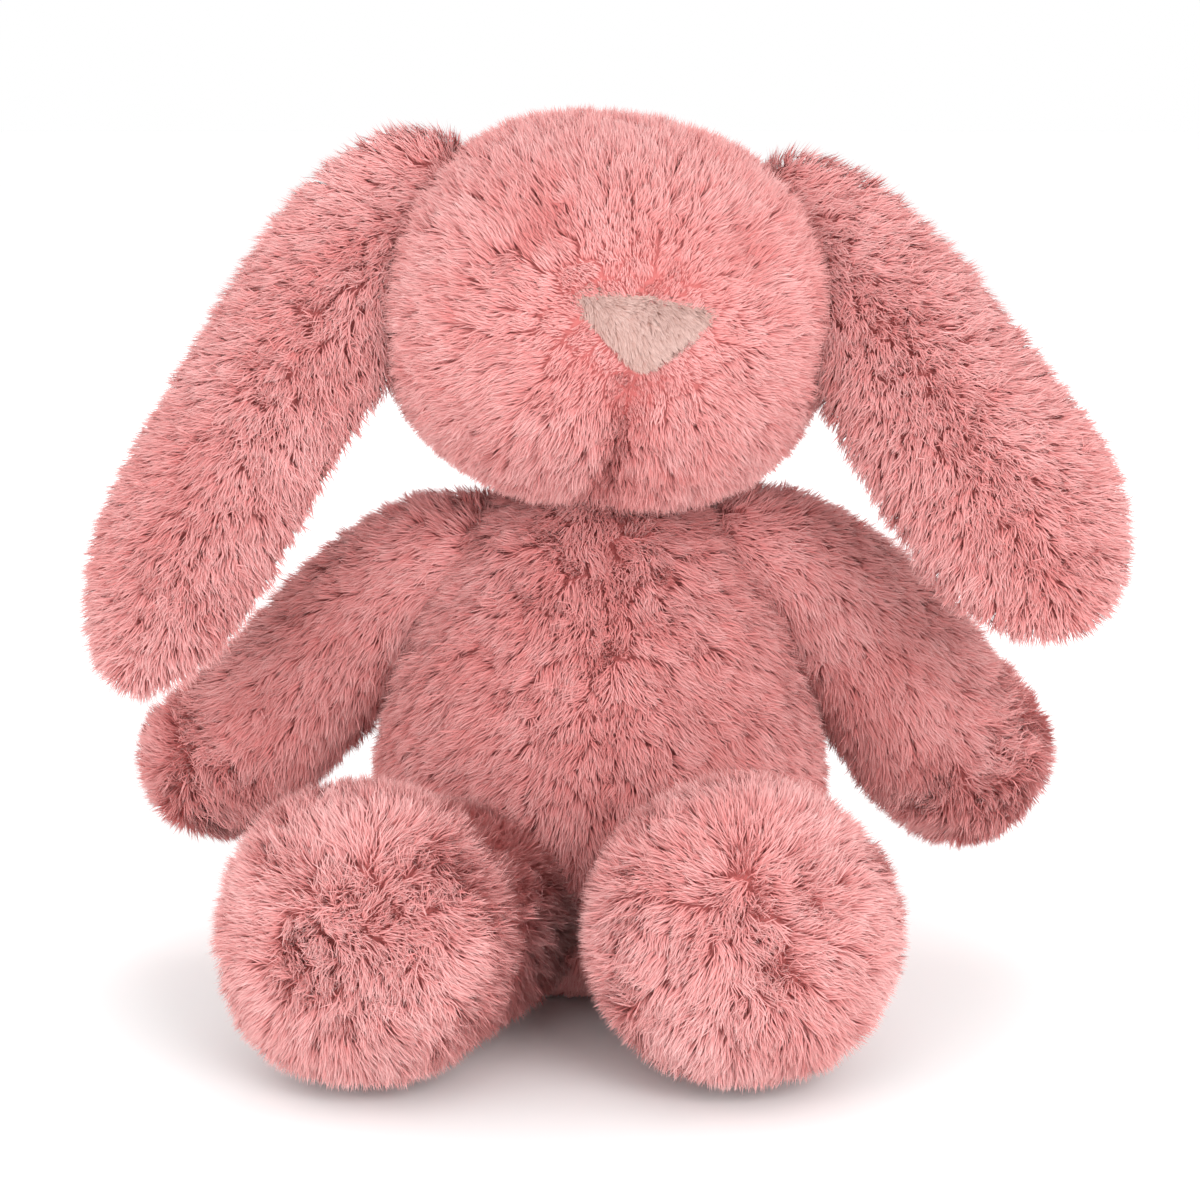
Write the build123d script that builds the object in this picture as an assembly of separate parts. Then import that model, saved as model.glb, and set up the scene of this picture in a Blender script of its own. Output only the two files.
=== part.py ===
from build123d import *
from math import acos, asin, cos, radians, sin
import os

# A stuffed toy rabbit that sits with its legs stretched forward, in millimetres.
# It faces -Y with +Z up. The origin is on the flat seat, under the middle of the torso.
# Each cover is a shell of fur fabric with its pile pressed flat, around a stuffing core.

# driving dimensions
pile = 6.0  # fabric plus flattened pile, on every fur cover
gap = 0.5  # left between pieces that move against each other

belly_ball = 54.0
belly_height = 45.0
chest_ball = 39.0
chest_height = 79.5

neck_pivot = (0, -2, 119)
neck_ball = 15.0

head_centre = (2, -8, 169)
head_turn = 9  # the face looks a little to +X
head_roll = 8  # and leans towards +X
head_radius = 48.5
muzzle_radius = 31.0
muzzle_centre = (0, -20.5, -6)
gusset_width = 30.0

nose_width = 32.0
nose_height = 19.0
nose_corner = 3.0
nose_rise = 1.5  # how far the plush stands off the muzzle
nose_level = -4.5  # height of its middle above the head's centre

ear_ball = 9.0
ear_fur = 8.0  # thickness of the outer panel
ear_lining = 5.5
ear_edge = 5.0  # rounding of the rim
ear_half_width = 21.5
ear_swing = 85
ear_cuts = 10  # the head is cut from the ear at this many steps of its swing

arm_ball = 14.0
paw_ball = 17.0

hip_ball = 20.0
foot_ball = 32.0
sole_start = 0.3  # the sole panel begins this share of the foot's radius past its centre

tail_ball = 16.0
tail_centre = (0, 53, 24)

pouch_radius = 23.0
pouch_height = 18.0
pouch_centre = (0, 14, 20)
pouch_cloth = 1.0
foot_bag_radius = 15.0
foot_bag_drop = 8.0  # the pellets lie low in the foot

label_width = 14.0
label_length = 15.0  # of the part that shows
label_thickness = 0.8
label_hem = 12.0  # the part that is sewn in
label_turn = 62  # angle round the torso from +X
label_reach = 46.0  # from the middle of the torso to the seam
label_level = 22.0

puck_rounding = 0.4  # share of a puck's height

far = 400.0  # larger than the toy, for cutting it in two
socket_reach = 62.0  # past the surface of the torso on every side
socket_step = 0.06  # each cutter of a socket is this much smaller than the one before


# basic shapes
def club(near, end, length):
    """Two balls on the X axis and the cone that is tangent to both."""
    lean = acos((near - end) / length)
    first = (near * cos(lean), near * sin(lean))
    last = (length + end * cos(lean), end * sin(lean))
    back = (lean + radians(180)) / 2
    outline = [
        ThreePointArc((-near, 0), (near * cos(back), near * sin(back)), first),
        Line(first, last),
        ThreePointArc(last, (length + end * cos(lean / 2), end * sin(lean / 2)), (length + end, 0)),
        Line((length + end, 0), (-near, 0)),
    ]
    return revolve(make_face(outline), Axis.X, 360)


def swept_club(near, end, length, low, high, clear):
    """The pieces of space that a club passes through as it swings about Z, with clearance.

    Each is a little smaller than the one before, so that no two share a curved face.
    """
    slope = asin((end - near) / length)
    start = (near + clear - socket_step) / cos(slope)
    wide = start + socket_reach * sin(slope) / cos(slope)
    corners = [(0, start), (socket_reach, wide), (socket_reach, -wide), (0, -start)]
    wedge = make_face(Polyline(*corners, close=True))
    sector = revolve(Rot(0, 0, low) * (Plane.XZ * wedge), Axis.Z, high - low)
    pieces = [Sphere(near + clear), sector]
    for count, angle in ((2, low), (3, high)):
        less = clear - count * socket_step
        pieces.append(Rot(0, 0, angle) * club(near + less, end + less, length))
    return pieces


def slab(axis, low, high):
    """All of space between two heights along an axis."""
    size = [far, far, far]
    centre = [0, 0, 0]
    size[axis] = high - low
    centre[axis] = (low + high) / 2
    return Pos(*centre) * Box(*size)


class Limb:
    """An arm or a leg: a club from a pivot on the torso to the ball at its far end."""

    def __init__(self, pivot, end, near, last, low, high):
        self.near, self.last, self.low, self.high = near, last, low, high
        self.pivot = Vector(*pivot)
        along = Vector(*end) - self.pivot
        self.length = along.length
        self.axis = along.cross(Vector(0, 0, 1)).normalized()  # a positive turn lifts the limb
        self.plane = Plane(self.pivot, x_dir=along.normalized(), z_dir=self.axis)

    def body(self, inset=0):
        return self.plane * club(self.near - inset, self.last - inset, self.length)

    def socket(self, clear):
        sweep = swept_club(self.near, self.last, self.length, self.low, self.high, clear)
        return [self.plane * piece for piece in sweep]

    def ahead_of(self, distance):
        """All of space beyond a plane across the limb."""
        return self.plane * Pos(distance + far / 2, 0, 0) * Box(far, far, far)

    def above(self):
        """All of space on the upper side of the limb."""
        return self.plane * Pos(0, far / 2, 0) * Box(far, far, far)


class Ear:
    """A blade that hangs from a ball on the head, curved in its own plane."""

    def __init__(self, side, pivot, tilt, yaw, centreline):
        self.centreline = centreline
        self.pivot = Vector(*pivot)
        self.place = Pos(*pivot) * Rot(0, 0, yaw) * Rot(tilt, 0, 0)
        behind = (self.place * Pos(0, 1, 0)).position - self.pivot
        self.axis = behind * -side  # a positive turn lifts the ear

    def body(self):
        """The blade clears the head at each step of its swing, and the ball joins it to the head."""
        route = ThreePointArc(*self.centreline)
        outline = make_face(offset(route, ear_half_width, side=Side.BOTH).edges())
        blade = extrude(Plane.XZ * outline, amount=ear_fur + ear_lining)
        rims = blade.edges().group_by(Axis.Y)
        blade = self.place * Pos(0, ear_lining, 0) * fillet(rims[0] + rims[-1], ear_edge)
        hinge = Axis(self.pivot, self.axis)
        for count in range(ear_cuts + 1):
            skull = Pos(*head_centre) * Sphere(head_radius + gap)
            blade -= skull.rotate(hinge, -ear_swing * count / ear_cuts)
        return blade + Pos(*self.pivot) * Sphere(ear_ball)

    def front(self):
        """All of space in front of the sheet where the two panels meet."""
        return self.place * Pos(0, -far / 2, 0) * Box(far, far, far)


limbs = {
    "arm_left": Limb((-37, 5, 100), (-97, 20, 47), arm_ball, paw_ball, -4, 60),
    "arm_right": Limb((37, 5, 100), (98, 20, 48), arm_ball, paw_ball, -4, 60),
    "leg_left": Limb((-27, -34, 24), (-58, -91, 32.2), hip_ball, foot_ball, -75, 15),
    "leg_right": Limb((25, -34, 24), (35, -98, 32.2), hip_ball, foot_ball, -75, 15),
}

ears = {
    "ear_left": Ear(-1, (-27, -11, 204), -12, -12, [(-14, -8), (-45, -38), (-77, -103)]),
    "ear_right": Ear(1, (39, -5, 197), -24, 12, [(12, -8), (44, -42), (64, -85)]),
}


# torso
def pear(inset):
    """The plain torso, cut flat at the seat."""
    upright = Rot(0, -90, 0) * club(belly_ball - inset, chest_ball - inset, chest_height - belly_height)
    return Pos(0, 0, belly_height) * upright & slab(2, inset, far)


def torso_body(inset):
    """The torso less everything that moves against it, drawn in by an inset."""
    body = pear(inset)
    for limb in limbs.values():
        for space in limb.socket(gap + inset):
            body -= space
    return body - Pos(*neck_pivot) * Sphere(neck_ball + gap + inset)


def torso_pieces():
    outer, inner = torso_body(0), torso_body(pile)
    cover = outer - inner
    front, back = slab(1, -far, 0), slab(1, 0, far)
    left, right = slab(0, -far, 0), slab(0, 0, far)
    pouch = Pos(*pouch_centre) * rounded_puck(pouch_radius, pouch_height)
    pellets = Pos(*pouch_centre) * rounded_puck(pouch_radius - pouch_cloth, pouch_height - 2 * pouch_cloth)
    tail_place = Pos(*tail_centre) * Rot(90, 0, 0)
    tail_core = tail_place * Sphere(tail_ball - pile)
    tail_cover = tail_place * Sphere(tail_ball) - tail_core
    return {
        "torso_front_left": cover & front & left,
        "torso_front_right": cover & front & right,
        "torso_back_left": cover & back & left,
        "torso_back_right": cover & back & right,
        "torso_stuffing": inner - pouch,
        "seat_pouch": pouch - pellets,
        "seat_pellets": pellets,
        "tail_cover": tail_cover - pear(0),
        "tail_stuffing": tail_core - pear(0),
        "care_label": care_label() - pear(0),
    }


def rounded_puck(radius, height):
    puck = Cylinder(radius, height)
    return fillet(puck.edges().filter_by(GeomType.CIRCLE), height * puck_rounding)


def care_label():
    """A blank folded tape, sewn into the side seam low on the torso's back."""
    tape = Box(label_length + label_hem, label_thickness, label_width)
    return Rot(0, 0, label_turn) * Pos(label_reach + label_length / 2, 0, label_level) * tape


# head, in its own upright place and then turned and leaned
head_place = Pos(*head_centre) * Rot(0, 0, head_turn) * Rot(0, head_roll, 0)


def head_body(inset):
    """The skull and muzzle less the sockets of the neck and ears, drawn in by an inset."""
    muzzle = Pos(*muzzle_centre) * Sphere(muzzle_radius - inset)
    body = head_place * (Sphere(head_radius - inset) + muzzle)
    for ear in ears.values():
        body -= Pos(*ear.pivot) * Sphere(ear_ball + gap + inset)
    return body - Pos(*neck_pivot) * Sphere(neck_ball + gap + inset)


def nose_outline():
    """A triangle with its point down and round corners."""
    half = nose_width / 2
    corners = [(-half, nose_height / 2), (half, nose_height / 2), (0, -nose_height / 2)]
    face = make_face(Polyline(*corners, close=True))
    return fillet(face.vertices(), nose_corner)


def head_pieces():
    outer, inner = head_body(0), head_body(pile)
    cover = outer - inner
    strip = slab(0, -gusset_width / 2, gusset_width / 2)
    chin = slab(1, -far, 0) & slab(2, -far, nose_level)
    gusset_space = head_place * (strip - chin)
    sides = cover - gusset_space
    plush = Pos(*muzzle_centre) * (Sphere(muzzle_radius + nose_rise) - Sphere(muzzle_radius))
    plush -= Sphere(head_radius)
    window = extrude(Pos(0, 0, nose_level) * Plane.XZ * nose_outline(), amount=far)
    return {
        "head_left": sides & (head_place * slab(0, -far, 0)),
        "head_right": sides & (head_place * slab(0, 0, far)),
        "head_gusset": cover & gusset_space,
        "head_stuffing": inner,
        "nose_patch": head_place * (plush & window),
    }


def ear_pieces(name, ear):
    body = ear.body()
    return {
        name + "_fur": body & ear.front(),
        name + "_lining": body - ear.front(),
    }


def limb_cover(limb):
    return limb.body() - limb.body(pile)


def arm_pieces(name, limb):
    cover = limb_cover(limb)
    return {
        name + "_upper": cover & limb.above(),
        name + "_lower": cover - limb.above(),
        name + "_stuffing": limb.body(pile),
    }


def leg_pieces(name, limb):
    cover = limb_cover(limb)
    sole_space = limb.ahead_of(limb.length + sole_start * limb.last)
    foot = name.replace("leg", "foot")
    bag_centre = limb.plane.from_local_coords(Vector(limb.length, 0, 0)) - Vector(0, 0, foot_bag_drop)
    bag = Pos(*bag_centre) * Sphere(foot_bag_radius)
    return {
        name + "_upper": (cover - sole_space) & limb.above(),
        name + "_lower": (cover - sole_space) - limb.above(),
        foot + "_sole": cover & sole_space,
        name + "_stuffing": limb.body(pile) - bag,
        foot + "_pellets": bag,
    }


def all_pieces():
    pieces = torso_pieces()
    pieces["neck_stuffing"] = Pos(*neck_pivot) * Sphere(neck_ball)
    pieces.update(head_pieces())
    for name, ear in ears.items():
        pieces.update(ear_pieces(name, ear))
    for name, limb in limbs.items():
        make = arm_pieces if name.startswith("arm") else leg_pieces
        pieces.update(make(name, limb))
    return pieces


if __name__ == "__main__":
    os.makedirs("parts", exist_ok=True)
    for name, piece in all_pieces().items():
        piece.label = name
        export_step(piece, "parts/" + name + ".step")
        print(name, round(piece.volume), "mm3")
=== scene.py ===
# Sitting plush bunny in rose faux fur: stuffed skins, and a pile of separate strands grown on each.
import math
import bpy
import numpy as np
from mathutils import Matrix, Vector


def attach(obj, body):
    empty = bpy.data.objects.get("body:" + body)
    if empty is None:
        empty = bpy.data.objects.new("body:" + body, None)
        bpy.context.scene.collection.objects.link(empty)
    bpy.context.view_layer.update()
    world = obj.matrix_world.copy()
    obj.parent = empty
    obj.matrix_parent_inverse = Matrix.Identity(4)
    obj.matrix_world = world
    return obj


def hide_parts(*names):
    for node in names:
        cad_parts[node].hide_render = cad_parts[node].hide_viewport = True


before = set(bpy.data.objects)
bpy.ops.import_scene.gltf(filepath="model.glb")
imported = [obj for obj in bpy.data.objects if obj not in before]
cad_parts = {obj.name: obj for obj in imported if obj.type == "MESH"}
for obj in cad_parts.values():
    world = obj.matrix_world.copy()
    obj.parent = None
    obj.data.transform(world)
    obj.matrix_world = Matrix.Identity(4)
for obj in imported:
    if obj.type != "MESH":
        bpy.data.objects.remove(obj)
print("frame loaded")
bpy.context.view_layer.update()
mm = 0.001
random = np.random.default_rng(612)  # every random draw comes from here, so each run is the same


def unit(vectors):
    # Each vector divided by its own length.
    return vectors / np.maximum(np.linalg.norm(vectors, axis=-1, keepdims=True), 1e-9)


def smooth(value, low, high):
    # 0 below low, 1 above high, and 3t^2 - 2t^3 between.
    t = np.clip((value - low) / (high - low), 0, 1)
    return t * t * (3 - 2 * t)


def turn(degreesX=0, degreesY=0, degreesZ=0):
    # The rotation about X, then Y, then Z, as a 3 x 3 matrix.
    parts = [Matrix.Rotation(math.radians(angle), 3, axis)
             for angle, axis in ((degreesX, "X"), (degreesY, "Y"), (degreesZ, "Z"))]
    return np.array(parts[2] @ parts[1] @ parts[0])


def cloud(points, size, seed):
    # Soft patches from about -1 to 1: eight cosines of random direction, with a wavelength of size mm.
    waves = np.random.default_rng(seed)
    directions = unit(waves.normal(size=(8, 3))) * (2 * np.pi / size) * waves.uniform(0.7, 1.4, (8, 1))
    phases = waves.uniform(0, 2 * np.pi, 8)
    return np.cos(points @ directions.T + phases).sum(1) / 4


def along(curve, t):
    # Points on a smooth line through evenly spaced control points: Catmull-Rom, t from 0 to 1.
    control = np.asarray(curve, float)
    if control.ndim == 1:
        control = control[:, None]
    padded = np.vstack([2 * control[0] - control[1], control, 2 * control[-1] - control[-2]])
    place = np.clip(np.asarray(t, float), 0, 1) * (len(control) - 1)
    start = np.minimum(place.astype(int), len(control) - 2)
    s = (place - start)[..., None]
    a, b, c, d = (padded[start + k] for k in range(4))
    return 0.5 * (2 * b + (c - a) * s + (2 * a - 5 * b + 4 * c - d) * s ** 2
                  + (3 * b - a - 3 * c + d) * s ** 3)


floorGap = 1.6  # the lowest that a skin comes, so the pile under it has room
undercoat = 3.2  # dense short hairs that carry the long ones


class Skin:
    # A closed surface on a grid: rows from pole to pole, each row a ring of points, in millimetres.

    def __init__(self, grid, undercoat=undercoat, lowest=floorGap):
        rows, ring = grid.shape[:2]
        self.points = np.vstack([grid[0, :1], grid[1:-1].reshape(-1, 3), grid[-1, :1]])
        first = 1 + np.arange(rows - 2)[:, None] * ring + np.arange(ring)
        after = np.roll(first, -1, axis=1)
        self.quads = np.stack([first[:-1], after[:-1], after[1:], first[1:]], -1).reshape(-1, 4)
        last = len(self.points) - 1
        top = np.stack([np.zeros(ring, int), after[0], first[0]], -1)
        bottom = np.stack([np.full(ring, last), first[-1], after[-1]], -1)
        halves = np.vstack([self.quads[:, [0, 1, 2]], self.quads[:, [0, 2, 3]]])
        self.triangles = np.vstack([halves, top, bottom])
        self.caps = np.vstack([top, bottom])
        corners = self.points[self.triangles]
        volume = np.einsum("ij,ij->", corners[:, 0], np.cross(corners[:, 1], corners[:, 2]))
        if volume < 0:  # faces point outwards
            self.quads, self.triangles, self.caps = (
                faces[:, ::-1] for faces in (self.quads, self.triangles, self.caps))
        self.findNormals()
        self.points = self.points + self.normals * undercoat  # the dense short hairs that carry the long ones
        self.points[:, 2] = np.maximum(self.points[:, 2], lowest)
        self.findNormals()

    def findNormals(self):
        # Each point's normal is the sum of the area vectors of the triangles round it.
        corners = self.points[self.triangles]
        flat = np.cross(corners[:, 1] - corners[:, 0], corners[:, 2] - corners[:, 0])
        self.areas = np.linalg.norm(flat, axis=1) / 2
        normals = np.zeros_like(self.points)
        for corner in range(3):
            np.add.at(normals, self.triangles[:, corner], flat)
        self.normals = unit(normals)

    def scatter(self, count):
        # Random roots spread evenly over the area, with their normals.
        chosen = random.choice(len(self.areas), count, p=self.areas / self.areas.sum())
        a, b = np.sqrt(random.random(count)), random.random(count)
        share = np.stack([1 - a, a * (1 - b), a * b], 1)[:, :, None]
        corners = self.triangles[chosen]
        return (self.points[corners] * share).sum(1), unit((self.normals[corners] * share).sum(1))


def newMesh(name, points, faces, material, smoothShade=True):
    # A mesh object at the origin; points in mm, faces are arrays with the same number of corners.
    mesh = bpy.data.meshes.new(name)
    mesh.vertices.add(len(points))
    mesh.vertices.foreach_set("co", (points * mm).astype(np.float32).ravel())
    corners = np.concatenate([np.asarray(block).ravel() for block in faces]).astype(np.int32)
    sizes = np.concatenate([np.full(len(block), np.shape(block)[1]) for block in faces])
    mesh.loops.add(len(corners))
    mesh.loops.foreach_set("vertex_index", corners)
    mesh.polygons.add(len(sizes))
    mesh.polygons.foreach_set("loop_start", (np.cumsum(sizes) - sizes).astype(np.int32))
    mesh.update(calc_edges=True)
    mesh.polygons.foreach_set("use_smooth", np.full(len(sizes), smoothShade))
    mesh.materials.append(material)
    piece = bpy.data.objects.new(name, mesh)
    bpy.context.scene.collection.objects.link(piece)
    return piece


def linear(hexColour):
    # An sRGB hex colour as linear red, green, blue and alpha.
    channels = [int(hexColour[k:k + 2], 16) / 255 for k in (1, 3, 5)]
    return [c / 12.92 if c <= 0.04045 else ((c + 0.055) / 1.055) ** 2.4 for c in channels] + [1.0]


def addNode(material, kind, settings=None, links=None):
    # Adds a node, sets its properties or inputs, and joins its inputs to outputs.
    node = material.node_tree.nodes.new(kind)
    for key, value in (settings or {}).items():
        if isinstance(key, str) and hasattr(node, key):
            setattr(node, key, value)
        else:
            node.inputs[key].default_value = value
    for key, output in (links or {}).items():
        material.node_tree.links.new(output, node.inputs[key])
    return node


def newMaterial(name):
    material = bpy.data.materials.new(name)
    material.use_nodes = True
    shader = material.node_tree.nodes["Principled BSDF"]
    return material, shader


def join(material, output, node, key):
    material.node_tree.links.new(output, node.inputs[key])


def ramp(material, stops, factor):
    # A colour ramp from a list of (place, hex colour).
    node = addNode(material, "ShaderNodeValToRGB", links={"Fac": factor})
    points = node.color_ramp.elements
    while len(points) < len(stops):
        points.new(0.5)
    for point, (place, colour) in zip(points, stops):
        point.position, point.color = place, linear(colour)
    return node.outputs["Color"]


def pileMaterial(name, deep, pale, roughness, sheen):
    # Dyed acrylic pile: the strand's own map runs root to tip in v, and from deep to pale strands in u. The
    # darker roots and paler tips are partly the dye and partly painted shade down in the pile with painted
    # light on the tips; u carries random tone together with painted light and shade.
    material, shader = newMaterial(name)
    place = addNode(material, "ShaderNodeUVMap", {"uv_map": "OFBake"})
    split = addNode(material, "ShaderNodeSeparateXYZ", links={"Vector": place.outputs["UV"]})
    colour = addNode(material, "ShaderNodeMix", {"data_type": "RGBA"}, {"Factor": split.outputs["X"]})
    join(material, ramp(material, deep, split.outputs["Y"]), colour, "A")
    join(material, ramp(material, pale, split.outputs["Y"]), colour, "B")
    join(material, colour.outputs["Result"], shader, "Base Color")
    shader.inputs["Roughness"].default_value = roughness
    shader.inputs["Sheen Weight"].default_value = sheen
    shader.inputs["Sheen Roughness"].default_value = 0.5
    shader.inputs["Sheen Tint"].default_value = linear("#FFE6E3")
    shader.inputs["Specular IOR Level"].default_value = 0.25
    return material


strandsPerPiece = 95000  # two triangles each, under the limit for one piece


def clumpCentres(roots, size):
    # Every root's nearest among randomly chosen roots, one for each patch of size mm across.
    spread = np.ptp(roots, axis=0)
    area = spread[0] * spread[1] + spread[1] * spread[2] + spread[0] * spread[2]
    count = int(np.clip(1.6 * area / size ** 2, 8, len(roots) / 4))
    seeds = roots[random.choice(len(roots), count, replace=False)]
    nearest = np.empty(len(roots), int)
    halfSquares = (seeds ** 2).sum(1) / 2
    for start in range(0, len(roots), 20000):
        nearest[start:start + 20000] = (halfSquares - roots[start:start + 20000] @ seeds.T).argmin(1)
    return seeds, nearest


def growFur(name, body, skin, look, groom, keep=None, length=None, shade=None):
    # Each strand is a leaf of two triangles: root, two middle corners and tip. From root to middle it goes by
    # rise[0] of the normal plus lie[0] of the groom, and on to the tip by the second numbers. Middles and
    # tips
    # are drawn towards the root of their tuft.
    roots, normals = skin.scatter(int(skin.areas.sum() * look["perSquare"] * density))
    if keep is not None:
        kept = keep(roots, normals)
        roots, normals = roots[kept], normals[kept]
    count = len(roots)
    flow = groom(roots, normals)
    flow = flow - normals * (flow * normals).sum(1, keepdims=True)
    flow = unit(flow) * np.minimum(np.linalg.norm(flow, axis=1, keepdims=True), 1)
    reach = look["length"] * random.uniform(0.7, 1.1, count)
    if length is not None:
        reach = reach * length(roots)
    seeds, tuft = clumpCentres(roots, look["clump"])
    lean = random.normal(size=(len(seeds), 3))[tuft] * look["lean"]
    tuftTone = random.normal(size=len(seeds))[tuft]
    stray = random.normal(size=(count, 3)) * look["stray"]
    start = unit(normals * look["rise"][0] + (flow + lean) * look["lie"][0] + stray * 0.5)
    finish = unit(normals * look["rise"][1] + (flow + lean) * look["lie"][1] + stray)
    base = roots - normals * 0.6
    middle = base + start * reach[:, None] * 0.5
    tip = middle + finish * reach[:, None] * 0.5
    pull = look["pull"] * random.uniform(0.4, 1.2, count)[:, None]
    inward = seeds[tuft] - roots
    inward -= normals * (inward * normals).sum(1, keepdims=True)
    middle += inward * pull * 0.4
    tip += inward * pull
    for part, lowest in ((base, 0.5), (middle, 0.35), (tip, 0.25)):  # what would pass the table lies on it
        part[:, 2] = np.maximum(part[:, 2], lowest)
    across = unit(np.cross(finish, normals) + random.normal(size=(count, 3)) * 0.25)
    facing = unit(np.cross(across, finish))
    outside = np.sign((facing * normals).sum(1, keepdims=True))
    across, facing = across * outside, facing * outside
    half = look["width"] / 2 * random.uniform(0.7, 1.3, count)[:, None] * density ** -0.5
    points = np.stack([base, middle - across * half, middle + across * half, tip], 1)
    # tone picks between the deep and pale ramps: random patches and tufts, plus the painted light and shade
    # that shade() gives
    tone = 0.5 + 0.12 * cloud(roots, 36, 5) + 0.10 * cloud(roots, 12, 6) + look["tufts"] * tuftTone
    tone += random.normal(size=count) * 0.12
    if shade is not None:
        tone += shade(roots)
    tone = np.clip(tone, 0.02, 0.98)[:, None]
    lying = (facing * normals).sum(1, keepdims=True)  # small on a strand that stands up
    soft = unit(normals * lying * 0.85 + facing * (1.1 - lying * 0.85))
    corners = np.array([0, 2, 1, 1, 2, 3])
    lower = np.hstack([tone, tone + 0.02, tone - 0.02])
    upper = np.hstack([tone - 0.02, tone + 0.02, tone])
    heights = np.broadcast_to([0, 0.5, 0.5, 0.5, 0.5, 1], (count, 6))
    places = np.stack([np.hstack([lower, upper]), heights], -1)
    for number, first in enumerate(range(0, count, strandsPerPiece)):
        block = slice(first, min(first + strandsPerPiece, count))
        faces = (np.arange(block.stop - first)[:, None] * 4 + corners).reshape(-1, 3)
        piece = newMesh(name if count <= strandsPerPiece else f"{name}{number + 1}",
                        points[block].reshape(-1, 3), [faces], look["material"])
        uvMap = piece.data.uv_layers.new(name="OFBake")
        uvMap.data.foreach_set("uv", places[block].astype(np.float32).ravel())
        even = np.repeat(soft[block], 4, axis=0).astype(np.float32)
        piece.data.normals_split_custom_set_from_vertices(even)
        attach(piece, body)
    print(name, count, "strands")
    return piece


density = 1.0

# long acrylic faux fur, dyed rose: matt, paler at its tips, with deeper roots; the tips and roots are partly
# the dye and partly painted light on the tips and painted shade down in the pile
rosePile = pileMaterial(
    "roseFauxFur",
    deep=[(0.0, "#BC5C5A"), (0.4, "#CA6B68"), (0.75, "#D57D7A"), (1.0, "#DD8E8A")],
    pale=[(0.0, "#CC7270"), (0.4, "#DA8B89"), (0.75, "#E7AAA8"), (1.0, "#F1C8C5")],
    roughness=0.75, sheen=0.4)
# short sheared plush in the ears: flat beige-pink, with little shine
liningPile = pileMaterial(
    "liningPlush",
    deep=[(0.0, "#B07B72"), (1.0, "#CF9C92")],
    pale=[(0.0, "#C99187"), (1.0, "#E6BDB2")],
    roughness=0.8, sheen=0.15)
# short brushed plush of the nose, pale peach
nosePile = pileMaterial(
    "nosePlush",
    deep=[(0.0, "#AE7D73"), (0.5, "#BE9288"), (1.0, "#CBA69D")],
    pale=[(0.0, "#BF9086"), (0.5, "#D3AFA7"), (1.0, "#E6CAC2")],
    roughness=0.8, sheen=0.15)

# knitted polyester backing that the pile stands on: matt, seen only between strands
backing, backingShader = newMaterial("knittedBacking")
backingShader.inputs["Base Color"].default_value = linear("#C9706D")
backingShader.inputs["Roughness"].default_value = 0.95
noseCloth, noseShader = newMaterial("noseCloth")
noseShader.inputs["Base Color"].default_value = linear("#D3A396")
noseShader.inputs["Roughness"].default_value = 0.95

longPile = {
    "slot": "rose_fur", "material": rosePile, "length": 7.6, "width": 0.38, "perSquare": 5.6,
    "clump": 4.5, "pull": 0.30, "lean": 0.25, "rise": (0.95, 0.60), "lie": (0.35, 0.75),
    "stray": 0.16, "tufts": 0.07,
}


stuffed = {"pressure": 4.0, "frames": 16, "cap": 1.8, "tension": 12.0, "bending": 0.3}


def stuff(skin, held):
    # Cloth blown up from inside, gravity off, held along its seams. No point moves further than the cap.
    piece = newMesh("panel", skin.points, [skin.quads, skin.caps], backing)
    seams = piece.vertex_groups.new(name="seams")
    seams.add([int(index) for index in np.flatnonzero(held)], 1.0, "REPLACE")
    cloth = piece.modifiers.new("Cloth", "CLOTH")
    settings = cloth.settings
    settings.quality = 5
    settings.mass = 0.1
    settings.tension_stiffness = settings.compression_stiffness = stuffed["tension"]
    settings.bending_stiffness = stuffed["bending"]
    settings.use_pressure = True
    settings.uniform_pressure_force = stuffed["pressure"]
    settings.effector_weights.gravity = 0
    settings.vertex_group_mass = "seams"
    cloth.point_cache.frame_start, cloth.point_cache.frame_end = 1, stuffed["frames"]
    for frameNumber in range(1, stuffed["frames"] + 1):
        bpy.context.scene.frame_set(frameNumber)
    blown = piece.evaluated_get(bpy.context.evaluated_depsgraph_get()).to_mesh()
    moved = np.empty(len(skin.points) * 3, np.float32)
    blown.vertices.foreach_get("co", moved)
    shift = moved.reshape(-1, 3) / mm - skin.points
    distance = np.linalg.norm(shift, axis=1, keepdims=True)
    print("stuffed", len(skin.points), "points, moved up to", round(float(distance.max()), 1), "mm")
    skin.points = skin.points + shift * np.minimum(1, stuffed["cap"] / np.maximum(distance, 1e-6))
    skin.points[:, 2] = np.maximum(skin.points[:, 2], floorGap)
    skin.findNormals()
    mesh = piece.data
    bpy.data.objects.remove(piece)
    bpy.data.meshes.remove(mesh)
    bpy.context.scene.frame_set(1)
    return skin


def addSkin(name, body, skin, material, slot, fill, *nodes):
    # The stuffed cloth under the pile. It stands for the CAD covers and for what is sealed inside them.
    piece = newMesh(name, skin.points, [skin.quads, skin.caps], material)
    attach(piece, body)
    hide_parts(*nodes)
    return piece


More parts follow.
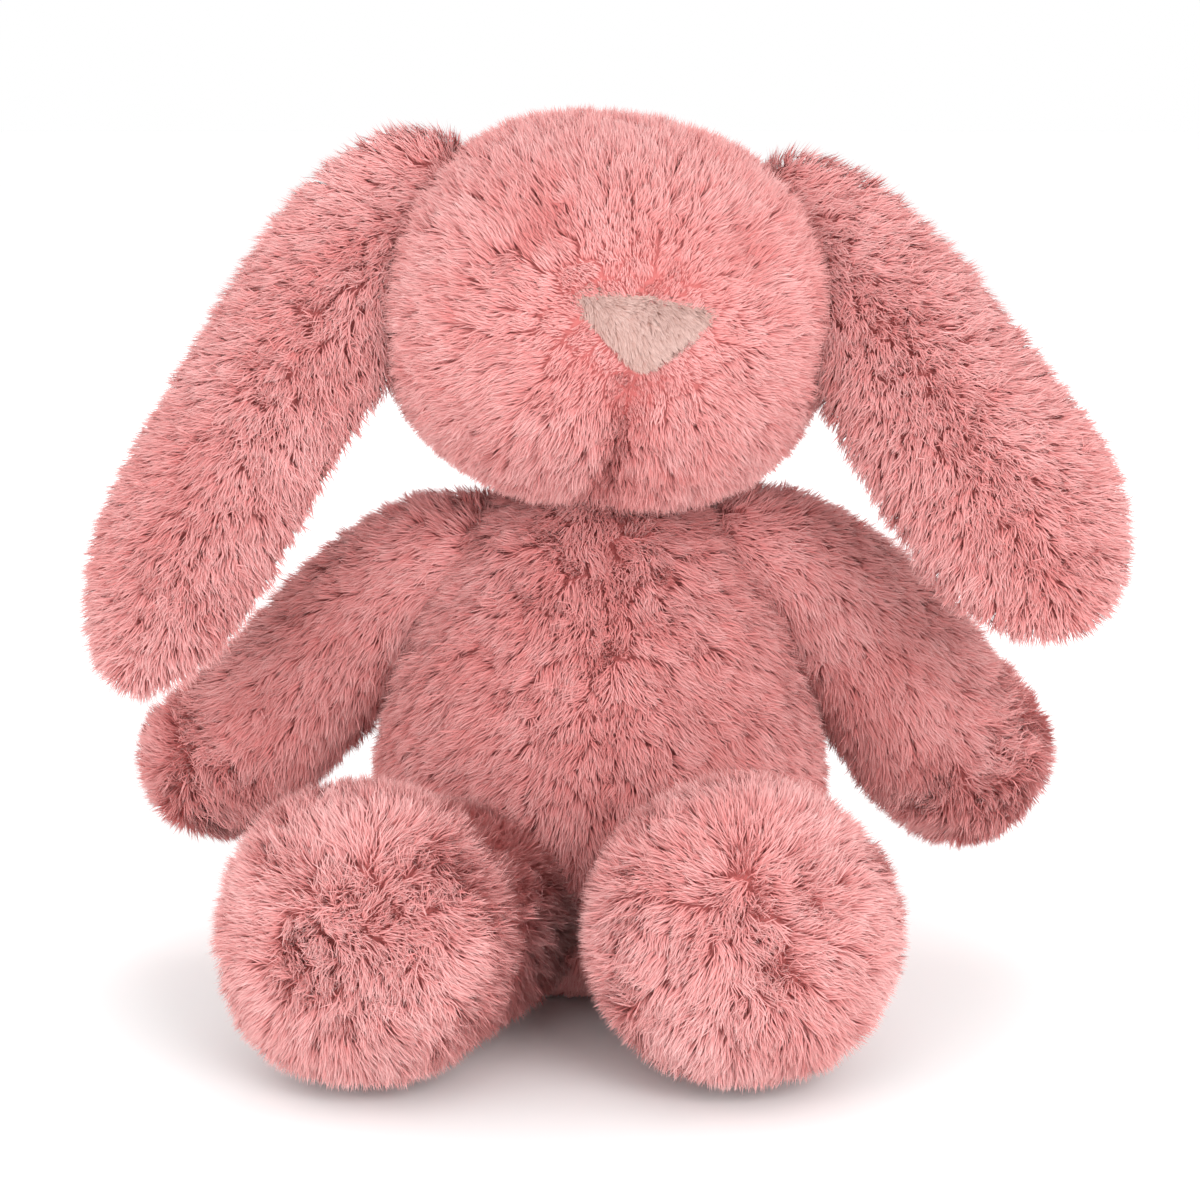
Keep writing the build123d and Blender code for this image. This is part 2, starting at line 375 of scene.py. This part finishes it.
# shapes of the ears, whose roots the head's shading also reads
ears = {
    "ear_left": {
        "line": [(-28, -5, 185.5), (-43, -9, 185.5), (-58, -14, 177), (-71, -19, 161), (-85, -24, 139),
                 (-100, -29, 113), (-111, -33, 85)],
        "half": [20, 19, 17, 16.5, 16.5, 16.5, 14.5], "thick": [2.5, 3, 3, 3, 3, 2.5, 2],
        "twist": [30, 20, 8, 0, 0, 0, 0], "yaw": -20, "curl": [0, 2, 4, 5, 6, 6, 5],
        "turnedRim": (-1, 0.45),  # the lining shows round this rim, from this place to the tip
    },
    "ear_right": {
        "line": [(32, -1, 183), (45, -5, 181), (57, -12, 175), (70, -20, 163), (83, -30, 145),
                 (98, -39, 124), (110, -46, 102)],
        "half": [19, 18, 17, 17.5, 19, 19.5, 16.5], "thick": [2.5, 3, 3, 3, 3, 2.5, 2],
        "twist": [-30, -20, -8, 0, 0, 0, 0], "yaw": 14, "curl": [0, 2, 3, 3, 4, 4, 3],
        "turnedRim": (1, 2),
    },
}

head = {
    "centre": (2, -8, 168), "turn": 9, "roll": 8,
    "half": (46.0, 40.0), "up": 38.0, "down": 41.5, "square": 2.35,  # half sizes, and how square it is
    "jaw": 0.06,  # how much wider the cheeks are than the crown
    "muzzle": 8.0, "muzzleSpread": 33, "muzzleDrop": 0.12,
    "eyeDent": 3.6, "eyeSpread": 8, "eyes": [(-0.50, -0.78, 0.40), (0.50, -0.78, 0.40)],
    # tone: the head's pile a little paler overall, partly painted light, as the head is lit more than the
    # body
    "lipDepth": 5.0, "lipWidth": 5.0, "tone": 0.04,
}
headTurn = turn(0, head["roll"], head["turn"])
noseTip = np.array([0, -51, 2.0])


def headLocal(points):
    return (points - np.array(head["centre"])) @ headTurn


def lipLine(points):
    # 1 on the line from the nose down to the chin, fading to 0 at its side: a bell across x.
    below = smooth(-points[..., 2], 6, 14) * smooth(-points[..., 1], 8, 20)
    return np.exp(-(points[..., 0] / head["lipWidth"]) ** 2) * below


def headSkin():
    # A rounded box |x/a|^p + |y/b|^p + |z/c|^p = 1, plus a bell for the muzzle, less dents and the lip line.
    polar, around = np.meshgrid(np.linspace(0, np.pi, 91), np.linspace(0, 2 * np.pi, 132, endpoint=False),
                                indexing="ij")
    ways = np.stack([np.sin(polar) * np.cos(around), np.sin(polar) * np.sin(around), np.cos(polar)], -1)
    p = head["square"]
    tall = np.where(ways[..., 2] > 0, head["up"], head["down"])
    wide = head["half"][0] * (1 + head["jaw"] * (smooth(-ways[..., 2], -0.7, 0.5) - 0.4))
    radius = ((np.abs(ways[..., 0]) / wide) ** p + (np.abs(ways[..., 1]) / head["half"][1]) ** p
              + (np.abs(ways[..., 2]) / tall) ** p) ** (-1 / p)

    def bell(aim, spread):
        angle = np.degrees(np.arccos(np.clip(ways @ unit(np.array(aim, float)), -1, 1)))
        return np.exp(-(angle / spread) ** 2)

    radius += head["muzzle"] * bell((0, -1, -head["muzzleDrop"]), head["muzzleSpread"])
    for eye in head["eyes"]:
        radius -= head["eyeDent"] * bell(eye, head["eyeSpread"])
    points = ways * radius[..., None]
    points *= 1 - (head["lipDepth"] * lipLine(points) / radius)[..., None]
    return Skin(points @ headTurn.T + np.array(head["centre"]))


def headGroom(roots, normals):
    # Away from the nose, aside from the lip line, and down the back of the head.
    local = headLocal(roots)
    flow = unit(local - noseTip)
    behind = smooth(local[:, 1], -15, 15)[:, None]
    flow = flow * (1 - behind) + np.array([0, 0.3, -1]) * behind
    flow[:, 0] += np.sign(local[:, 0]) * lipLine(local) * 1.5
    return flow @ headTurn.T


def headLength(roots):
    # Short beside the nose, and a little longer on the cheeks.
    away = np.linalg.norm(headLocal(roots) - noseTip, axis=1)
    return (0.34 + 0.60 * smooth(away, 12, 40)) * (1 - 0.45 * lipLine(headLocal(roots)))


def headShade(roots):
    local = headLocal(roots)
    # painted shade: darker along the lip groove from the nose down to the chin
    tone = head["tone"] - 0.26 * lipLine(local)
    # painted shade: darker in the eye dents
    for eye in head["eyes"]:
        near = unit(local) @ unit(np.array(eye, float))
        tone -= 0.34 * smooth(near, 0.978, 0.998)
    # painted shadow: darker round each ear's root, where the ear shades the head
    for ear in ears.values():
        away = np.linalg.norm(roots - np.array(ear["line"][0]), axis=1)
        tone -= 0.10 * (1 - smooth(away, 16, 34))
    return tone


noseMargin = {"half": 15.0, "top": 5.6, "bottom": -10.0}


def offNose(roots, normals):
    # True outside the triangle of the nose.
    local = headLocal(roots)
    level = (local[:, 2] - noseMargin["bottom"]) / (noseMargin["top"] - noseMargin["bottom"])
    width = noseMargin["half"] * np.clip(level, 0, 1) ** 0.85
    return ~((level > 0) & (level < 1) & (np.abs(local[:, 0]) < width) & (local[:, 1] < 0))


def headSeams(points):
    # Beside the strip over the crown, and down the chin.
    local = headLocal(points)
    strip = (np.abs(np.abs(local[:, 0]) - 16) < 1.3) & ~((local[:, 1] < -10) & (local[:, 2] < 0))
    chin = (np.abs(local[:, 0]) < 1.3) & (local[:, 1] < 0) & (local[:, 2] < -10)
    return strip | chin | (np.linalg.norm(local - noseTip, axis=1) < 15)


skin = headSkin()
skin = stuff(skin, headSeams(skin.points))
addSkin("headSkin", "head", skin, backing, "rose_fur", 0.95,
        "head_left", "head_right", "head_gusset", "head_stuffing")
growFur("headFur", "head", skin, longPile, headGroom, keep=offNose, length=headLength, shade=headShade)

nose = {"centre": (0, -20.5, -6), "radius": 31.6, "half": 16.4, "top": 6.6, "bottom": -12.0, "corner": 4.6,
        "dome": 1.8}


def noseSkin():
    # A rounded triangle laid on the muzzle's ball, its middle pushed out, its rim tucked in.
    half, top = nose["half"], nose["top"]
    corners = np.array([(-half, top), (half, top), (0, nose["bottom"])], float)
    middle = corners.mean(0)
    around = np.linspace(0, 2 * np.pi, 96, endpoint=False)
    ways = np.stack([np.cos(around), np.sin(around)], -1)
    inner = corners + unit(middle - corners) * nose["corner"] * 2
    edges = np.roll(inner, -1, 0) - inner
    outward = unit(np.stack([edges[:, 1], -edges[:, 0]], -1))
    outward *= np.sign(((inner - middle) * outward).sum(1))[:, None]
    reach = ((inner - middle) * outward).sum(1)
    straight = (np.maximum(ways @ outward.T, 1e-6) / (reach + nose["corner"])) ** 6
    rim = straight.sum(1) ** (-1 / 6)
    share = np.sin(np.linspace(0, np.pi / 2, 20))
    flat = middle + ways * rim[:, None] * share[:, None, None]
    lift = nose["radius"] + nose["dome"] * (1 - share[:, None] ** 2.5)
    lift = np.broadcast_to(lift, flat.shape[:2])
    front = np.concatenate([flat, flat[::-1][1:]], 0)
    lift = np.concatenate([lift, lift[::-1][1:] * 0 + nose["radius"] - 4], 0)
    x, z = front[..., 0], front[..., 1] - nose["centre"][2]
    depth = np.sqrt(np.maximum(lift ** 2 - x ** 2 - z ** 2, 1))
    points = np.stack([x, nose["centre"][1] - depth, front[..., 1]], -1)
    return Skin(points @ headTurn.T + np.array(head["centre"]), undercoat=0)


def noseGroom(roots, normals):
    # Brushed from the upper corner down across the nose.
    local = headLocal(roots)
    swirl = 0.5 * cloud(roots, 16, 21)
    flow = np.stack([0.7 + swirl, np.zeros(len(local)), -0.8 + 0.4 * cloud(roots, 14, 22)], -1)
    return flow @ headTurn.T


shortPile = dict(longPile, slot="nose_plush", material=nosePile, length=3.0, width=0.30, perSquare=30,
                 stray=0.10, clump=1.6, pull=0.4, lean=0.12, rise=(0.6, 0.25), lie=(0.7, 1.0), tufts=0.10)
skin = noseSkin()
piece = newMesh("nosePatch", skin.points, [skin.quads, skin.caps], noseCloth)
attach(piece, "head")
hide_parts("nose_patch")
growFur("nosePile", "head", skin, shortPile, noseGroom)


torso = {
    "profile": [(0, 124.5), (10, 123), (18, 117), (27, 108), (36, 94), (43, 77), (47.5, 60), (49, 45),
                (47, 28), (43, 15), (37, 7), (28, 4), (0, 4)],
    # tone: the torso's pile deeper than the head's, partly its own deeper colour and partly painted shade, as
    # it sits in shade
    "depth": 0.93, "seamDepth": 1.3, "seamWidth": 3.5, "tone": -0.08,
    "whorl": (3, -47, 83),  # where the pile turns round a point on the chest
}


def seamLine(points, width):
    # 1 on the seam down the middle of the belly, fading sideways.
    wander = 1.5 + 1.2 * np.sin(points[..., 2] / 17)
    return np.exp(-((points[..., 0] - wander) / width) ** 2) * smooth(-points[..., 1], 5, 20)


def torsoSkin():
    t, around = np.meshgrid(np.linspace(0, 1, 90), np.linspace(0, 2 * np.pi, 120, endpoint=False),
                            indexing="ij")
    outline = along(torso["profile"], t)
    radius = np.maximum(outline[..., 0], 0)
    x, y = radius * np.cos(around), radius * np.sin(around) * torso["depth"]
    points = np.stack([x, y, outline[..., 1]], -1)
    pull = torso["seamDepth"] * seamLine(points, torso["seamWidth"])
    points[..., :2] *= (1 - pull / np.maximum(radius, 10))[..., None]
    return Skin(points)


def torsoGroom(roots, normals):
    # Down, and aside from the belly seam.
    flow = np.zeros_like(roots)
    flow[:, 2] = -1
    aside = np.clip(roots[:, 0] / 22, -1, 1)
    flow[:, 0] = aside * 0.7
    whorl = roots - np.array(torso["whorl"])
    flow += unit(whorl) * (1.6 * np.exp(-((whorl ** 2).sum(1) / 9 ** 2)))[:, None]
    return flow


def torsoShade(roots):
    whorl = ((roots - np.array(torso["whorl"])) ** 2).sum(1)
    # Painted shade: darker along the crease of the belly seam. Paler round the whorl.
    return torso["tone"] - 0.16 * seamLine(roots, torso["seamWidth"]) + 0.3 * np.exp(-whorl / 7 ** 2)


def torsoLength(roots):
    # Short on the seat and along the seam.
    return (1 - 0.22 * seamLine(roots, 5)) * (0.3 + 0.7 * smooth(roots[:, 2], 4, 14))


def torsoSeams(points):
    # Down the belly, the back and both sides, and round the flat seat.
    return (seamLine(points, 1.5) > 0.5) | (np.abs(points[:, 1]) < 1.3) | (points[:, 2] < 3) | (
        (np.abs(points[:, 0]) < 1.3) & (points[:, 1] > 0))


skin = torsoSkin()
skin = stuff(skin, torsoSeams(skin.points))
addSkin("torsoSkin", "torso", skin, backing, "rose_fur", 0.8, "torso_front_left", "torso_front_right",
        "torso_back_left", "torso_back_right", "torso_stuffing", "seat_pouch", "seat_pellets")
growFur("torsoFur", "torso", skin, longPile, torsoGroom, length=torsoLength, shade=torsoShade)


def ballSkin(centre, radii):
    polar, around = np.meshgrid(np.linspace(0, np.pi, 31), np.linspace(0, 2 * np.pi, 48, endpoint=False),
                                indexing="ij")
    ways = np.stack([np.sin(polar) * np.cos(around), np.sin(polar) * np.sin(around), np.cos(polar)], -1)
    return Skin(ways * np.array(radii, float) + np.array(centre, float))


def outwardFrom(centre, drop=0.4):
    # Flow away from a point, with a little of it downwards.
    def groom(roots, normals):
        return unit(roots - np.array(centre, float)) * 0.6 + np.array([0, 0, -drop])
    return groom


skin = ballSkin((0, -2, 119), (14, 13, 11))
addSkin("neckSkin", "neck", skin, backing, "rose_fur", 0.7, "neck_stuffing")
growFur("neckFur", "neck", skin, dict(longPile, length=5), outwardFrom((0, -2, 119)))

skin = ballSkin((0, 53, 24), (11, 10.5, 11))
addSkin("tailSkin", "torso", skin, backing, "rose_fur", 0.9, "tail_cover", "tail_stuffing")
growFur("tailFur", "torso", skin, dict(longPile, length=8, stray=0.25), outwardFrom((0, 40, 30)))


def tangents(line, t):
    step = 0.004
    return unit(along(line, np.minimum(t + step, 1)) - along(line, np.maximum(t - step, 0)))


def earFrame(look, t):
    # At each place along the ear: its middle, its direction, the way across it and the way it faces.
    middle = along(look["line"], t)
    ahead = tangents(look["line"], t)
    facing = turn(0, 0, look["yaw"]) @ np.array([0, -1, 0])
    side = unit(np.cross(ahead, facing))
    twist = np.radians(along(look["twist"], t)[..., 0])[..., None]
    front = unit(np.cross(side, ahead))
    side = side * np.cos(twist) + ahead * np.sin(twist)
    return middle, ahead, side, front


def earSkin(look):
    # Flat rounded sections |u|^p + |v|^p = 1 along the line, bent back at both rims, with a rounded tip.
    tipTurn = np.sin(np.linspace(0.1, np.pi / 2, 16))
    t = np.concatenate([[0, 0.004], np.linspace(0.02, 0.86, 46), 0.86 + 0.14 * tipTurn])
    middle, _, side, front = earFrame(look, t)
    half, thick = along(look["half"], t)[:, 0], along(look["thick"], t)[:, 0]
    end = np.clip((t - 0.80) / 0.20, 0, 1)
    close = np.sqrt(np.maximum(1 - end ** 2.4, 0))
    begin = np.sqrt(np.clip(t / 0.02, 0, 1))
    half, thick = half * close * begin, thick * np.maximum(close, 0) ** 0.6 * begin
    around = np.linspace(0, 2 * np.pi, 88, endpoint=False)
    c, s = np.cos(around), np.sin(around)
    u = np.sign(c) * np.abs(c) ** 0.85
    v = np.sign(s) * np.abs(s) ** 0.9
    curl = along(look["curl"], t)[:, 0]
    points = (middle[:, None] + side[:, None] * (half[:, None] * u)[..., None]
              + front[:, None] * (thick[:, None] * v - curl[:, None] * u ** 2 * close[:, None])[..., None])
    return Skin(points)


def nearestOnLine(line, roots, steps=160):
    # The place along the line nearest to each root.
    t = np.linspace(0, 1, steps)
    spots = along(line, t)
    halfSquares = (spots ** 2).sum(1) / 2
    return t[(halfSquares - roots @ spots.T).argmin(1)]


def growEar(body):
    look = ears[body]
    skin = earSkin(look)

    def facing(roots, normals):
        # How far the surface faces the front of the ear, and -9 at its sewn root, where no pile grows.
        place = nearestOnLine(look["line"], roots)
        _, ahead, side, front = earFrame(look, place)
        root = (place < 0.03) & ((normals * ahead).sum(1) < -0.3)
        rim, start = look["turnedRim"]
        turned = 0.75 * smooth((normals * side).sum(1) * rim, 0.2, 0.7) * smooth(place, start, start + 0.1)
        return np.where(root, -9, (normals * front).sum(1) - turned)

    def groom(roots, normals):
        # Towards the tip, and outwards from the middle of the ear.
        middle, ahead, side, front = earFrame(look, nearestOnLine(look["line"], roots))
        off = ((roots - middle) * side).sum(1) / 20
        return ahead * 0.75 + side * (off * 0.9)[:, None]

    def shade(roots):
        # Painted light and shade: the ear's pile paler overall where it is lit, and darker along a line down
        # its middle, where the ear folds.
        middle, ahead, side, front = earFrame(look, nearestOnLine(look["line"], roots))
        off = ((roots - middle) * side).sum(1) - 2 + 3 * cloud(roots, 40, 31)
        return 0.14 - 0.16 * np.exp(-(off / 4) ** 2)

    stuff(skin, np.abs(facing(skin.points, skin.normals)) < 0.25)
    addSkin(f"{body}_skin", body, skin, backing, "rose_fur", 0.4, f"{body}_fur")
    growFur(f"{body}_pile", body, skin, longPile, groom, keep=lambda r, n: facing(r, n) > -0.30, shade=shade,
            length=lambda roots: 0.55 + 0.45 * smooth(nearestOnLine(look["line"], roots), 0.0, 0.16))
    liningLook = dict(longPile, slot="ear_lining", material=liningPile, length=3.0, width=0.5, perSquare=5,
                      clump=2.5, rise=(0.7, 0.3), lie=(0.6, 1.0))
    lining = growFur(f"{body}_liningPile", body, skin, liningLook, groom,
                     keep=lambda r, n: abs(facing(r, n) + 1) <= 0.75)
    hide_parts(f"{body}_lining")


for body in ears:
    growEar(body)


label = {"root": (20.5, 38.0, 22), "turn": 62, "length": 15, "sewnIn": 6, "width": 14, "thick": 0.4,
         "fold": 0.45, "bend": 1.5}
labelReach = label["length"] + label["sewnIn"]


def labelSkin():
    # A flat section carried out along the tape, half round a small circle at the fold, and back.
    out, bending = np.linspace(0, labelReach, 20), np.linspace(0, np.pi, 9)[1:-1]
    x = np.concatenate([out, labelReach + label["fold"] * np.sin(bending), out[::-1]])
    y = np.concatenate([out * 0 + 1, np.cos(bending), out * 0 - 1]) * label["fold"]
    line = np.stack([x, y + label["bend"] * np.sin(x / labelReach * np.pi * 0.8)], 1)
    ahead = unit(np.gradient(line, axis=0))
    across = np.stack([-ahead[:, 1], ahead[:, 0]], 1)
    ends = [0] + list(range(len(line))) + [len(line) - 1]
    share = np.array([0] + [1] * len(line) + [0])[:, None]
    corners = np.array([(-1, -1), (1, -1), (1, 1), (-1, 1)]) / 2
    flat = line[ends][:, None] + across[ends][:, None] * (corners[:, 0] * label["thick"] * share)[..., None]
    heights = corners[:, 1] * label["width"] * share
    grid = np.concatenate([flat - [label["sewnIn"], 0], heights[..., None]], -1)
    return Skin(grid @ turn(0, 0, label["turn"]).T + np.array(label["root"], float), undercoat=0)


# woven satin tape, off-white and a little smooth
tape, tapeShader = newMaterial("labelTape")
tapeShader.inputs["Base Color"].default_value = linear("#F2ECE6")
tapeShader.inputs["Roughness"].default_value = 0.6
skin = labelSkin()
piece = newMesh("careLabel", skin.points, [skin.quads, skin.caps], tape, smoothShade=False)
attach(piece, "torso")
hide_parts("care_label")

# Each limb's tone is partly painted light and shade: paler or deeper by how the lamps fall on it.
limbs = {
    "arm_left": {
        "line": [(-30, 2, 104), (-42, 5, 101), (-55, 9, 91), (-70, 13, 75), (-85, 17, 59), (-98, 20, 47)],
        "radii": [10, 11, 12.5, 13, 13.5, 13], "flat": 0.9, "cap": (0.6, 0.9), "tone": -0.03,
    },
    "arm_right": {
        "line": [(32, 2, 106), (46, 5, 101), (60, 9, 89), (73, 13, 74), (84, 17, 59), (93, 19, 49)],
        "radii": [10, 12, 14.5, 16, 16.5, 15.5], "flat": 0.85, "cap": (0.6, 0.9), "tone": 0.04,
    },
    "leg_left": {
        "line": [(-25, -30, 26), (-32, -48, 27), (-42, -68, 30), (-50, -82, 33), (-54.5, -90, 35)],
        "radii": [17, 19, 22, 25.5, 27], "flat": 1.0, "cap": (0.6, 0.62), "tone": 0.10,
    },
    "leg_right": {
        "line": [(23, -30, 26), (26, -50, 27), (29, -70, 30), (31, -84, 34), (32.5, -92, 36.5)],
        "radii": [17, 19, 22, 25.5, 27], "flat": 1.04, "cap": (0.6, 0.62), "tone": 0.06,
    },
}


def limbSkin(look):
    # Rings across the line, their radius taken along it, closed at each end by part of an ellipsoid.
    near, last = look["cap"]
    begin, finish = np.linspace(-np.pi / 2, 0, 12)[:-1], np.linspace(0, np.pi / 2, 20)[1:]
    body = np.linspace(0, 1, 44)
    t = np.concatenate([np.zeros(11), body, np.ones(19)])
    shift = np.concatenate([near * look["radii"][0] * np.sin(begin), body * 0,
                            last * look["radii"][-1] * np.sin(finish)])
    scale = np.concatenate([np.cos(begin), body * 0 + 1, np.cos(finish) ** 0.8])
    ahead = tangents(look["line"], t)
    middle = along(look["line"], t) + ahead * shift[:, None]
    radius = along(look["radii"], t)[:, 0] * scale
    side = unit(np.cross(ahead, [0, 0, 1]))
    up = np.cross(side, ahead)
    around = np.linspace(0, 2 * np.pi, 84, endpoint=False)
    points = middle[:, None] + radius[:, None, None] * (
        side[:, None] * np.cos(around)[:, None] * look["flat"] + up[:, None] * np.sin(around)[:, None])
    points[..., 2] = np.maximum(points[..., 2], 3.5)
    return Skin(points)


def growLimb(body):
    look = limbs[body]
    side = body.split("_")[1]
    skin = limbSkin(look)
    sole = np.array(look["line"][-1], float)
    ahead = tangents(look["line"], np.array([1.0]))[0]

    def groom(roots, normals):
        # Along the limb, and on the sole outwards from its middle.
        onward = tangents(look["line"], nearestOnLine(look["line"], roots))
        past = ((roots - sole) @ ahead)[:, None]
        out = roots - sole - ahead * past
        spread = np.linalg.norm(out, axis=1, keepdims=True)
        out = out / np.maximum(spread, 1) * smooth(spread, 0, 16)
        swirl = np.stack([cloud(roots, 26, seed) for seed in (41, 42, 43)], 1)
        return (onward * (1 - smooth(past, -22, -4)) * 0.9 + (out * 0.8 + swirl * 0.6) * smooth(past, -12, 6)
                + np.array([0, 0, -0.2]))

    def shade(roots):
        # Painted light: paler over the round end, where the strands stand up, lifting the shade of their
        # roots showing between them; the limb's tone is partly painted light and shade too.
        return look["tone"] + 0.12 * smooth((roots - sole) @ ahead, 0, 12)

    upward = np.cross(np.cross(ahead, [0, 0, 1]), ahead)
    stuff(skin, (np.abs(skin.normals @ unit(upward)) < 0.12) | (np.abs((skin.points - sole) @ ahead) < 1))
    if body.startswith("arm"):
        nodes = [f"{body}_upper", f"{body}_lower", f"{body}_stuffing"]
    else:
        nodes = [f"{body}_upper", f"{body}_lower", f"foot_{side}_sole", f"{body}_stuffing",
                 f"foot_{side}_pellets"]
    addSkin(f"{body}_skin", body, skin, backing, "rose_fur", 0.85, *nodes)
    growFur(f"{body}_pile", body, skin, longPile, groom,
            length=lambda roots: 0.25 + 0.75 * smooth(roots[:, 2], 3, 12),
            shade=shade)


for body in limbs:
    growLimb(body)

paleFloor, floorShader = newMaterial("paleFloor")
floorShader.inputs["Base Color"].default_value = linear("#FFFFFF")
floorShader.inputs["Roughness"].default_value = 0.9
floorMesh = newMesh("floor", np.array([[-3, -3, 0], [3, -3, 0], [3, 3, 0], [-3, 3, 0]]) / mm,
                    [np.array([[0, 1, 2, 3]])], paleFloor)
print("floor laid")

world = bpy.data.worlds.new("studio")
bpy.context.scene.world = world
world.use_nodes = True
world.node_tree.nodes["Background"].inputs["Color"].default_value = linear("#FFFFFF")
world.node_tree.nodes["Background"].inputs["Strength"].default_value = 1.0

lights = {
    "key": {"at": (0.5, -1.0, 0.55), "size": 0.6, "power": 7.0},
    "fill": {"at": (-0.7, -1.0, 0.35), "size": 0.8, "power": 5.2},
    "back": {"at": (0.1, 1.0, 0.7), "size": 0.8, "power": 4},
}
for name, light in lights.items():
    data = bpy.data.lights.new(name, "AREA")
    data.size, data.energy = light["size"], light["power"]
    lamp = bpy.data.objects.new(name, data)
    lamp.location = light["at"]
    lamp.rotation_euler = (Vector((0, 0, 0.1)) - Vector(light["at"])).to_track_quat("-Z", "Y").to_euler()
    bpy.context.scene.collection.objects.link(lamp)

cameraSet = {"target": (0, 0, 93.5), "distance": 830, "elevation": 12, "lens": 100, "sensor": 36}
cameraData = bpy.data.cameras.new("camera")
cameraData.lens, cameraData.sensor_width = cameraSet["lens"], cameraSet["sensor"]
camera = bpy.data.objects.new("camera", cameraData)
slope = math.radians(cameraSet["elevation"])
back = Vector((0, -math.cos(slope), math.sin(slope)))
camera.location = (Vector(cameraSet["target"]) + back * cameraSet["distance"]) * mm
camera.rotation_euler = (-back).to_track_quat("-Z", "Y").to_euler()
bpy.context.scene.collection.objects.link(camera)
bpy.context.scene.camera = camera
bpy.context.scene.view_settings.view_transform = "Standard"
